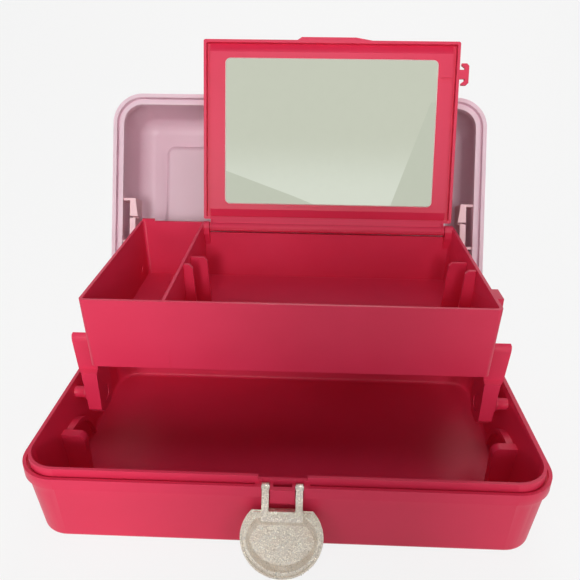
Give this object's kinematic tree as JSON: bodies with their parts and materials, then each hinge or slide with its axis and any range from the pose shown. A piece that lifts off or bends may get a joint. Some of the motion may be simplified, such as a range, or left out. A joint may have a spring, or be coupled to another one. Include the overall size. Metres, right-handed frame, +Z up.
{
  "type": "makeup storage case",
  "caption": "Two-tone plastic vanity case with a hinged lid, a lift-out divided tray on folding arms, a mirror lid, a front latch and a carry handle.",
  "frame": {"origin": "centre of the base's bottom face, on the surface the case stands on", "axes": "+Z up, -Y towards the latch and the person using it, +X to that person's right"},
  "size_m": [0.304, 0.3283, 0.264],
  "materials": {
    "hot_pink_plastic": "fine matte moulded plastic, hot pink",
    "pale_pink_plastic": "fine matte moulded plastic, pale pink",
    "pale_bracket_plastic": "smooth moulded plastic, very pale pink",
    "handle_plastic": "smooth moulded plastic, hot pink",
    "glitter_plastic": "clear plastic with silver glitter",
    "mirror_glass": "silvered glass",
    "foam_tape": "double-sided foam tape",
    "steel": "plain bright steel"
  },
  "bodies": {
    "base": {"base_tub": "hot_pink_plastic", "latch_pins": "steel", "hinge_pin_left": "steel", "hinge_pin_right": "steel", "arm_stud_left": "steel", "arm_stud_right": "steel"},
    "lid": {"lid_shell": "pale_pink_plastic", "lid_bracket_left": "pale_bracket_plastic", "lid_bracket_right": "pale_bracket_plastic", "tray_stud_left": "steel", "tray_stud_right": "steel", "handle_pin_left": "steel", "handle_pin_right": "steel"},
    "tray": {"tray_shell": "hot_pink_plastic", "arm_top_stud_left": "steel", "arm_top_stud_right": "steel", "mirror_pin_left": "steel", "mirror_pin_right": "steel"},
    "mirror": {"mirror_lid": "hot_pink_plastic", "mirror_glass": "mirror_glass", "mirror_tape": "foam_tape"},
    "arm_left": {"arm_left": "hot_pink_plastic"},
    "arm_right": {"arm_right": "hot_pink_plastic"},
    "handle": {"carry_handle": "handle_plastic"},
    "latch": {"latch_flap": "glitter_plastic"}
  },
  "joints": [
    {"name": "lid_hinge", "type": "hinge", "parent": "base", "child": "lid", "pos_m": [0, 0.0942, 0.04915], "axis": [1, 0, 0], "range_deg": [0, 93]},
    {"name": "tray_level", "type": "hinge", "parent": "lid", "child": "tray", "pos_m": [0, 0.098, 0.09415], "axis": [1, 0, 0], "range_deg": [-93, 0]},
    {"name": "mirror_fold", "type": "hinge", "parent": "tray", "child": "mirror", "pos_m": [0, 0.1172, 0.124], "axis": [1, 0, 0], "range_deg": [0, 106.9]},
    {"name": "arm_left_swing", "type": "hinge", "parent": "base", "child": "arm_left", "pos_m": [0, -0.0025, 0.045], "axis": [1, 0, 0], "range_deg": [0, 93]},
    {"name": "arm_right_swing", "type": "hinge", "parent": "base", "child": "arm_right", "pos_m": [0, -0.0025, 0.045], "axis": [1, 0, 0], "range_deg": [0, 93]},
    {"name": "latch_swing", "type": "hinge", "parent": "base", "child": "latch", "pos_m": [0, -0.0902, 0.0474], "axis": [-1, 0, 0], "range_deg": [0, 152]},
    {"name": "handle_swing", "type": "hinge", "parent": "lid", "child": "handle", "pos_m": [0, 0.18091, 0.11396], "axis": [1, 0, 0], "range_deg": [-23.7, 156.3]}
  ],
  "couplings": [
    {"joint": "tray_level", "follows": "lid_hinge", "ratio": -1},
    {"joint": "arm_left_swing", "follows": "lid_hinge", "ratio": 1},
    {"joint": "arm_right_swing", "follows": "lid_hinge", "ratio": 1},
    {"joint": "mirror_fold", "follows": "lid_hinge", "ratio": 1.1494}
  ]
}
